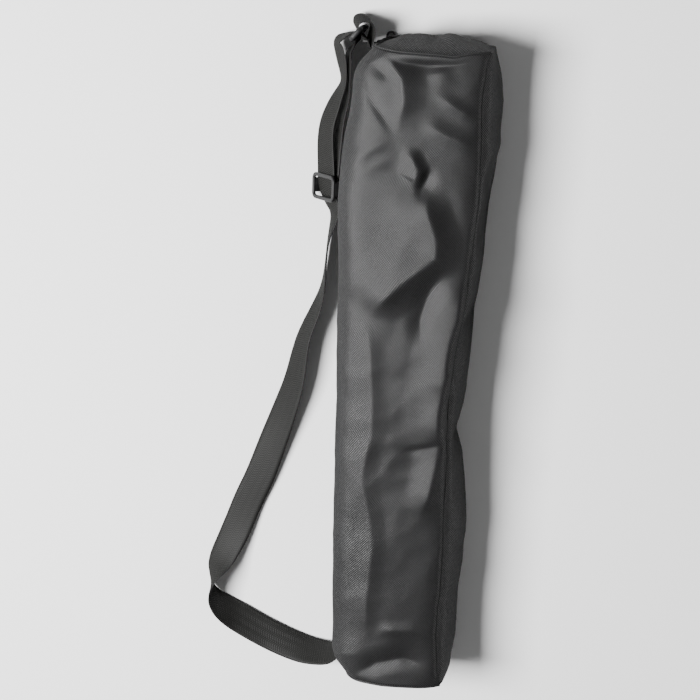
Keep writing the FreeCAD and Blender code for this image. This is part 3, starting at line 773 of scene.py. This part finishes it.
def fold_panel(points, which, outward):
    """Adds the folds, crumples and seam dips along the outward directions."""
    normals = grid_normals(points) * outward
    x, y, z = points[:, :, 0], points[:, :, 1], points[:, :, 2]
    lift = np.zeros_like(x)
    from_top = np.linalg.norm(points - points[-1:], axis=2)
    from_bottom = np.linalg.norm(points - points[:1], axis=2)
    hold = 1 - np.exp(-(np.minimum(from_top, from_bottom) / 5.0) ** 2)
    if which == "wrap":
        front = np.clip((z - 44) / 18, 0, 1)
        beside = np.clip(np.linalg.norm(points - points[:, :1], axis=2) / 6.0, 0.35, 1)
        lift += stroke_height(x, y, FOLDS) * front * beside
        lift += seam_dip(points, points[:, :1], 3.0, 3.4)
    if which == "gusset":
        side = np.clip((z - 8) / 14, 0, 1) * np.clip((66 - z) / 12, 0.2, 1)
        lift += stroke_height(x, y, SIDE_FOLDS) * side
        lift += seam_dip(points, points[:, -1:], 2.8, 3.6) + seam_dip(points, points[:, :1], 1.4, 3.0)
    flat = points.reshape(-1, 3)
    slanted = flat @ SLANT
    rough = (0.35 - np.abs(crumple(slanted, 1 / 36.0, 1))).reshape(x.shape) * 1.7
    rough += (0.3 - np.abs(crumple(slanted, 1 / 16.0, 2))).reshape(x.shape) * 0.45
    rough += crumple(flat, 1 / 8.0, 3).reshape(x.shape) * 0.14
    low = np.clip((z - 3) / 12, 0, 1)
    lift += rough * low * (0.25 if which == "back" else 1)
    lift *= hold
    return points + normals * lift[:, :, None]


def cloth_piece(name, points, start):
    """A panel of cloth with a little thickness, from its grid."""
    rows, cols, _ = points.shape
    steps = np.linalg.norm(np.diff(points, axis=1), axis=2)
    across = start + np.concatenate([np.zeros((rows, 1)), np.cumsum(steps, axis=1)], axis=1)
    along = points[:, :, 1]
    weave = np.stack([across.ravel(), along.ravel()], axis=1)
    piece = mesh_object(name, points.reshape(-1, 3), grid_faces(rows, cols), weave)
    modify(piece, "SOLIDIFY", thickness=CLOTH_THICK * MM, offset=-1)
    return piece


def end_panel(name, loop, outward, bulge):
    """A closed end: rings of cloth from the seam inwards, swelling out."""
    centre = loop.mean(axis=0)
    count = len(loop)
    rings = 20
    rows = []
    weave = []
    for k in range(rings):
        share = k / rings
        size = 1 - share
        row = centre + (loop - centre) * size
        swell = bulge * (1 - (1 - share) ** 2.2)
        wobble = 1 + 0.22 * crumple(row, 1 / 26.0, 4) + 0.1 * crumple(row, 1 / 11.0, 5)
        row = row.copy()
        row[:, 1] = loop[:, 1] * size + centre[1] * share + outward * swell * wobble
        row[:, 1] += outward * stroke_height(row[:, 0], row[:, 2], END_FOLDS) * min(1.0, share * 5)
        row[:, 1] -= outward * 1.6 * math.exp(-((share * 34) / 3.0) ** 2) * (1 if k else 0)
        rows.append(row)
        weave.append(row[:, [0, 2]])
    verts = np.vstack(rows + [rows[-1].mean(axis=0)[None, :]])
    spots = np.vstack(weave + [rows[-1][:, [0, 2]].mean(axis=0)[None, :]])
    faces = grid_faces(rings, count, closed=True)
    tip = len(verts) - 1
    last = (rings - 1) * count
    for j in range(count):
        faces.append((last + j, last + (j + 1) % count, tip))
    piece = mesh_object(name, verts, faces, spots)
    flip_if_inside_out(piece)
    modify(piece, "SUBSURF", levels=1, render_levels=1)
    modify(piece, "SOLIDIFY", thickness=CLOTH_THICK * MM, offset=-1)
    return piece


def tube_mesh(name, points, radius):
    """A round tube along a line, with weave coordinates."""
    sides = 10
    points = np.asarray(points, float)
    ahead = np.gradient(points, axis=0)
    ahead /= np.linalg.norm(ahead, axis=1)[:, None]
    helper = np.array((0.21, 0.1, 1.0))
    first = np.cross(ahead, helper)
    first /= np.linalg.norm(first, axis=1)[:, None]
    second = np.cross(ahead, first)
    along = np.concatenate([[0], np.cumsum(np.linalg.norm(np.diff(points, axis=0), axis=1))])
    verts = []
    weave = []
    for i, centre in enumerate(points):
        for k in range(sides):
            turn = 2 * math.pi * k / sides
            verts.append(centre + radius * (first[i] * math.cos(turn) + second[i] * math.sin(turn)))
            weave.append((turn * radius, along[i]))
    faces = grid_faces(len(points), sides, closed=True)
    close_ends(faces, len(points), sides)
    return flip_if_inside_out(mesh_object(name, verts, faces, weave))


def make_bag():
    """The five cloth panels, the welts at both ends and the cloth beyond the zip's ends."""
    wrap = panel_points(0, WRAP_COLS)
    back = panel_points(1, BACK_COLS)
    gusset = panel_points(2, GUSSET_COLS)
    sign = 1 if grid_normals(wrap)[ROWS // 2, 20, 2] > 0 else -1
    wrap = fold_panel(wrap, "wrap", sign)
    back = fold_panel(back, "back", sign)
    gusset = fold_panel(gusset, "gusset", sign)
    for name, points, start, cad in (
        ("front_cloth", wrap, 0, "front_wrap_panel"),
        ("back_cloth", back, 300, "back_panel"),
        ("gusset_cloth", gusset, 500, "right_gusset"),
    ):
        finish_piece(cloth_piece(name, points, start), "bag", "cloth", CLOTH, cad)
    for name, row, outward, bulge, cad in (
        ("top_end_cloth", -1, 1, 9.5, "top_end_panel"),
        ("bottom_end_cloth", 0, -1, 6.0, "bottom_end_panel"),
    ):
        loop = np.vstack([wrap[row], back[row], gusset[row][1:-1]])
        finish_piece(end_panel(name, loop, outward, bulge), "bag", "cloth", CLOTH, cad)
        welt = wrap[row][:80] + np.array((0, outward * 0.5, 0.3))
        finish_piece(tube_mesh(name.replace("cloth", "welt"), welt, 0.95), "bag", "cloth", CLOTH)
    for name, near, far in (("below", -HALF, ZIP_LOW), ("above", ZIP_HIGH, HALF)):
        rows = np.where((wrap[:, -1, 1] >= near - 5) & (wrap[:, -1, 1] <= far + 5))[0]
        strip = np.linspace(wrap[rows, -1], back[rows, 0], 9).transpose(1, 0, 2)
        strip[:, :, 2] -= 1.2 * np.sin(np.linspace(0, math.pi, 9))
        finish_piece(cloth_piece(f"cloth_{name}_zip", strip, 290), "bag", "cloth", CLOTH)
    return wrap, back, gusset


def four_sided(base, count):
    """Faces of a closed four-sided bar whose first of count sections starts at vertex base."""
    faces = [(base + 3, base + 2, base + 1, base)]
    for a in range(base, base + 4 * (count - 1), 4):
        for q in range(4):
            r = (q + 1) % 4
            faces.append((a + q, a + r, a + r + 4, a + q + 4))
    end = base + 4 * (count - 1)
    faces.append((end, end + 1, end + 2, end + 3))
    return faces


STITCH_LENGTH = 2.3
STITCH_GAP = 0.9


def stitch_row(name, line, lift):
    """A row of lockstitches laid along a seam, a little proud of the cloth."""
    points = even_points(np.asarray(line, float), STITCH_LENGTH + STITCH_GAP)
    verts, faces = [], []
    shape = ((0.0, 0.10), (0.2, 0.30), (0.8, 0.30), (1.0, 0.10))
    for here, there in zip(points[:-1], points[1:]):
        ahead = (there - here) / np.linalg.norm(there - here)
        beside = np.cross(ahead, lift)
        beside /= np.linalg.norm(beside)
        base = len(verts)
        for share, half in shape:
            centre = here + ahead * STITCH_LENGTH * share + lift * (half - 0.05)
            for side, up in ((-1, 0), (0, 1), (1, 0), (0, -1)):
                verts.append(centre + beside * side * half + lift * up * half)
        faces += four_sided(base, len(shape))
    piece = flip_if_inside_out(mesh_object(name, verts, faces))
    finish_piece(piece, "bag", "thread", THREAD)


def stitch_seams(wrap, gusset):
    """Rows of stitches beside the front's top, bottom and right seams and the gusset's back seam."""
    stitch_row("top_stitches", wrap[-4, 3:70], np.array((0.0, 0.25, 0.97)))
    stitch_row("bottom_stitches", wrap[3, 3:70], np.array((0.0, -0.25, 0.97)))
    stitch_row("front_stitches", wrap[6:-6, 2], np.array((0.2, 0.0, 0.98)))
    stitch_row("back_stitches", gusset[6:-6, 3], np.array((0.9, 0.0, 0.43)))


def inner_tape(name, line, inward, cad):
    """Binding tape folded over a seam allowance inside the bag: its line and the way inwards."""
    section = ((0.8, -0.9), (3.0, -1.0), (6.8, -0.8), (7.4, 0.0), (6.8, 0.8), (3.0, 1.0), (0.8, 0.9))
    beside = np.cross(np.gradient(line, axis=0), inward)
    beside /= np.linalg.norm(beside, axis=1)[:, None]
    rows = [line + inward * depth + beside * side for depth, side in section]
    points = np.array(rows).transpose(1, 0, 2)
    count, cols, _ = points.shape
    faces = grid_faces(count, cols, closed=True)
    piece = flip_if_inside_out(mesh_object(name, points.reshape(-1, 3), faces))
    finish_piece(piece, "bag", "binding", BINDING, cad)


def inwards(line):
    """Level directions from each point of a line to the middle of the bag."""
    ways = (np.array((-4.0, 0.0, 36.0)) - line) * (1, 0, 1)
    return ways / np.linalg.norm(ways, axis=1)[:, None]


def make_bindings(wrap, back, gusset):
    """The four inner tapes, each following the cloth's own seam."""
    for name, line, cad in (
        ("front_tape", wrap[4:-4:3, 0], "seam_binding_front"),
        ("back_tape", gusset[4:-4:3, 0], "seam_binding_back"),
    ):
        inward = inwards(line)
        inner_tape(name, line + inward * 1.2, inward, cad)
    for name, row, cad in (
        ("top_tape", -1, "seam_binding_top"),
        ("bottom_tape", 0, "seam_binding_bottom"),
    ):
        line = np.vstack([wrap[row][::2], back[row][::2], gusset[row][1:-1:2]])
        inward = inwards(line)
        line = line + inward * 1.6 + np.array((0, 1.6 if row == 0 else -1.6, 0))
        inner_tape(name, line, inward, cad)


# ------------------------------------------------------------------ fittings


def box_mesh(name, low, high, bevel):
    """A box with rounded edges, in millimetres."""
    (a, b, c), (d, e, f) = low, high
    verts = [(a, b, c), (d, b, c), (d, e, c), (a, e, c), (a, b, f), (d, b, f), (d, e, f), (a, e, f)]
    faces = [(0, 3, 2, 1), (4, 5, 6, 7), (0, 1, 5, 4), (1, 2, 6, 5), (2, 3, 7, 6), (3, 0, 4, 7)]
    piece = mesh_object(name, verts, faces)
    modify(piece, "BEVEL", width=bevel * MM, segments=3, limit_method="ANGLE")
    return piece


def joined(name, pieces):
    """One piece from several, with their modifiers applied."""
    graph = bpy.context.evaluated_depsgraph_get()
    bpy.context.view_layer.update()
    graph.update()
    verts, faces = [], []
    for piece in pieces:
        shown = piece.evaluated_get(graph)
        mesh = shown.to_mesh()
        base = len(verts)
        verts += [tuple(piece.matrix_world @ v.co / MM) for v in mesh.vertices]
        faces += [tuple(base + k for k in p.vertices) for p in mesh.polygons]
        shown.to_mesh_clear()
    for piece in pieces:
        bpy.data.objects.remove(piece)
    return mesh_object(name, verts, faces)


def bar_tack(name, corner, size, step, count, bevel):
    """A ladder of stitches: count rounded blocks, each a step on from the last."""
    parts = []
    for k in range(count):
        low = [c + k * s for c, s in zip(corner, step)]
        high = [c + s for c, s in zip(low, size)]
        parts.append(box_mesh(f"stitch_{k}", low, high, bevel))
    return joined(name, parts)


ADJUSTER_AT = metres(-75.2, 138.0, 17.0)
ADJUSTER_LEAN = math.radians(50)
ADJUSTER_HALF_WIDE = 16.4
ADJUSTER_HALF_LONG = 10.3


def rounded_loop(half_wide, half_long, corner):
    """A closed rounded rectangle's points and outward directions, in its own plane."""
    points, outward = [], []
    for quarter, (sx, sy) in enumerate(((1, 1), (-1, 1), (-1, -1), (1, -1))):
        for k in range(9):
            turn = math.pi / 2 * (quarter + k / 8)
            way = (math.cos(turn), math.sin(turn))
            across = sx * (half_wide - corner) + corner * way[0]
            along = sy * (half_long - corner) + corner * way[1]
            points.append((across, along))
            outward.append(way)
    return np.array(points), np.array(outward)


def loop_frame(name, half_wide, half_long, corner, wide, deep, level):
    """A moulded frame: a softly squared section carried round a rounded rectangle."""
    points, outward = rounded_loop(half_wide, half_long, corner)
    sides = 14
    verts = []
    for (x, y), (ox, oy) in zip(points, outward):
        for k in range(sides):
            turn = 2 * math.pi * k / sides
            c, n = math.cos(turn), math.sin(turn)
            c = math.copysign(abs(c) ** 0.6, c) * wide / 2
            n = math.copysign(abs(n) ** 0.6, n) * deep / 2
            verts.append((x + ox * c, y + oy * c, level + n))
    count = len(points)
    faces = []
    for i in range(count):
        for k in range(sides):
            a, b = i * sides, ((i + 1) % count) * sides
            faces.append((a + k, a + (k + 1) % sides, b + (k + 1) % sides, b + k))
    return flip_if_inside_out(mesh_object(name, verts, faces))


def make_adjuster():
    """The three-bar slide, its bars rounded, leaning with the strap, and the strap's sewn end."""
    wide, long = ADJUSTER_HALF_WIDE, ADJUSTER_HALF_LONG
    parts = [loop_frame("frame", wide - 1.5, long - 1.4, 3.6, 3.0, 2.4, 2.2)]
    for side in (-1, 1):
        low = min(side * (wide - 3.0), side * wide)
        parts.append(box_mesh(f"rail{side}", (low, -long + 4.5, -3.9), (low + 3.0, long - 4.5, 2.4), 1.2))
    parts.append(box_mesh("middle", (-wide + 0.6, -1.2, -4.1), (wide - 0.6, 1.2, -1.9), 0.95))
    adjuster = joined("adjuster_moulding", parts)
    loop = []
    for k in range(25):
        turn = 2 * math.pi * k / 24
        loop.append((0.0, 2.0 * math.cos(turn) + 0.4, -3.0 + 1.75 * math.sin(turn)))
    sleeve = band("strap_end_loop", np.array(loop), (1, 0, 0), 24.6, 0.5)
    stitches = bar_tack("strap_end_stitches", (-11, 5.2, -5.2), (0.9, 2.2, 1.0), (2, 0, 0), 12, 0.25)
    place = Matrix.Translation(ADJUSTER_AT) @ Matrix.Rotation(-ADJUSTER_LEAN, 4, "Y")
    for piece in (adjuster, sleeve, stitches):
        piece.data.transform(place)
    finish_piece(adjuster, "adjuster", "moulded_plastic", PLASTIC, "slide_adjuster")
    finish_piece(sleeve, "adjuster", "webbing", WEBBING)
    finish_piece(stitches, "adjuster", "thread", THREAD, "strap_end_tack")
    return adjuster, sleeve, stitches


def band(name, path, across, width, thick):
    """A flat band whose line lies across a fixed direction."""
    across = np.array(across, float)
    ahead = np.gradient(path, axis=0)
    ahead /= np.linalg.norm(ahead, axis=1)[:, None]
    through = np.cross(ahead, across)
    along = np.concatenate([[0], np.cumsum(np.linalg.norm(np.diff(path, axis=0), axis=1))])
    section = web_section(11)
    verts, weave = [], []
    for i, centre in enumerate(path):
        for u, n in section:
            verts.append(centre + across * (u * width / 2) + through[i] * (n * thick / 2))
            weave.append((u * width / 2 + (BACK_SHIFT if n < 0 else 0), along[i]))
    faces = grid_faces(len(path), len(section), closed=True)
    close_ends(faces, len(path), len(section))
    return flip_if_inside_out(mesh_object(name, verts, faces, weave))


RING_AT = metres(-52.9, 257.4, 18.5)
RING_TURN = math.radians(49)
TAB_LINE = [
    (-45.0, 249.5), (-43.2, 255.5), (-42.6, 261.0), (-44.4, 266.4), (-49.4, 268.8), (-54.4, 267.0),
    (-55.4, 262.4), (-52.6, 258.6), (-48.6, 255.8), (-46.8, 252.5), (-46.2, 249.5),
]


def make_tab_and_ring():
    """The webbing tab that holds the ring, its bar-tack stitches and the moulded ring."""
    line = smooth_curve(TAB_LINE, 60)
    path = np.column_stack([line, np.full(len(line), RING_AT.z / MM)])
    tab = band("tab_webbing", path, (0.30, -0.22, 0.928), 25, 1.3)
    finish_piece(tab, "bag", "webbing", WEBBING, "ring_tab")
    stitches = bar_tack("tab_stitches", (-48.2, 251.4, 7.6), (4.6, 1.6, 1.0), (0, 0, 2.0), 11, 0.3)
    finish_piece(stitches, "bag", "thread", THREAD, "tab_bar_tack")
    ring = loop_frame("ring_moulding", 15.5, 5.5, 3.4, 3.6, 3.8, 0.0)
    upright = Matrix(((0, 1, 0, 0), (0, 0, 1, 0), (1, 0, 0, 0), (0, 0, 0, 1)))
    turned = Matrix.Rotation(RING_TURN, 4, "Z") @ upright
    ring.data.transform(Matrix.Translation(RING_AT) @ turned)
    finish_piece(ring, "ring", "moulded_plastic", PLASTIC, "strap_ring")


def make_anchor():
    """Rows of bar-tack thread where the strap's lower end is sewn into the side."""
    stitches = bar_tack("anchor_stitches", (-52.4, -248.9, 14.4), (2.6, 3.3, 0.9), (0, 0, 1.85), 12, 0.3)
    finish_piece(stitches, "bag", "thread", THREAD, "anchor_bar_tack")


def paint_node(name, material):
    """A CAD node that stays shown gets its material."""
    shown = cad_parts[name]
    shown.data.materials.clear()
    shown.data.materials.append(material)


def zip_side(side, cad):
    """A zip part's box in millimetres, and its x towards the teeth and away from them."""
    low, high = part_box(cad)
    low, high = low / MM, high / MM
    inner, outer = (high.x, low.x) if side < 0 else (low.x, high.x)
    return low, high, inner, outer


def make_coil(name, side, cad):
    """One side of the coil: a tooth every 1.9 mm, hooked towards the middle."""
    low, high, inner, outer = zip_side(side, cad)
    verts, faces = [], []
    pitch = 1.9
    count = int((high.y - low.y) / pitch)
    shape = [(0.0, 0.30), (0.35, 0.42), (0.75, 0.36), (1.0, 0.22)]
    for k in range(count):
        y = low.y + pitch * (k + (0.25 if side < 0 else 0.75))
        base = len(verts)
        for reach, half in shape:
            x = outer + (inner - outer) * reach
            for dy, dz in ((-half, low.z), (half, low.z), (half * 0.8, high.z), (-half * 0.8, high.z)):
                verts.append((x, y + dy, dz))
        faces += four_sided(base, len(shape))
    piece = flip_if_inside_out(mesh_object(name, verts, faces, smooth=False))
    finish_piece(piece, "bag", "zip_coil", PLASTIC, cad)


def make_zip_tape(name, side, cad):
    """One woven tape of the zip: a little wavy, with a thicker bead beside the teeth."""
    low, high, inner, outer = zip_side(side, cad)
    reach, y = np.meshgrid(np.linspace(0, 1, 13), np.linspace(low.y, high.y, 220))
    wave_height = 0.16 * np.sin(y / 14.0 + side) + 0.09 * np.sin(y / 5.3 + 2 * side)
    wave_height = wave_height * np.sin(math.pi * reach)
    bead = 0.12 * np.exp(-((reach - 0.9) / 0.06) ** 2)
    top = high.z + wave_height + bead * 0.3
    under = low.z + wave_height - bead
    x = outer + (inner - outer) * reach
    upper = np.stack([x, y, top], axis=2)
    lower = np.stack([x, y, under], axis=2)
    verts = np.concatenate([upper, lower[:, ::-1]], axis=1)
    rows, cols, _ = verts.shape
    faces = grid_faces(rows, cols, closed=True)
    close_ends(faces, rows, cols)
    piece = flip_if_inside_out(mesh_object(name, verts.reshape(-1, 3), faces))
    finish_piece(piece, "bag", "zip_tape", ZIP_TAPE, cad)
    line = np.stack([x[:, 3], y[:, 3], under[:, 3]], axis=1)
    stitch_row(f"{name}_stitches", line, np.array((0.0, 0.0, -1.0)))


def make_zip():
    """Both tapes and coils, and the zip's CAD metal parts painted and eased."""
    for side, name in ((-1, "left"), (1, "right")):
        make_zip_tape(f"tape_{name}", side, f"zip_tape_{name}")
        make_coil(f"coil_{name}", side, f"zip_teeth_{name}")
    for name in ("zip_top_stops", "zip_bottom_stop", "zip_slider", "zip_pull"):
        paint_node(name, ENAMEL)
        modify(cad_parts[name], "BEVEL", width=0.2 * MM, segments=2, limit_method="ANGLE",
               angle_limit=math.radians(40))


# ------------------------------------------------------------------ the scene

make_camera()
strap, strap_back, strap_line = make_straps()
make_stage()
wrap_cloth, back_cloth, gusset_cloth = make_bag()
make_bindings(wrap_cloth, back_cloth, gusset_cloth)
stitch_seams(wrap_cloth, gusset_cloth)
adjuster, sleeve, end_stitches = make_adjuster()
make_tab_and_ring()
make_anchor()
make_zip()
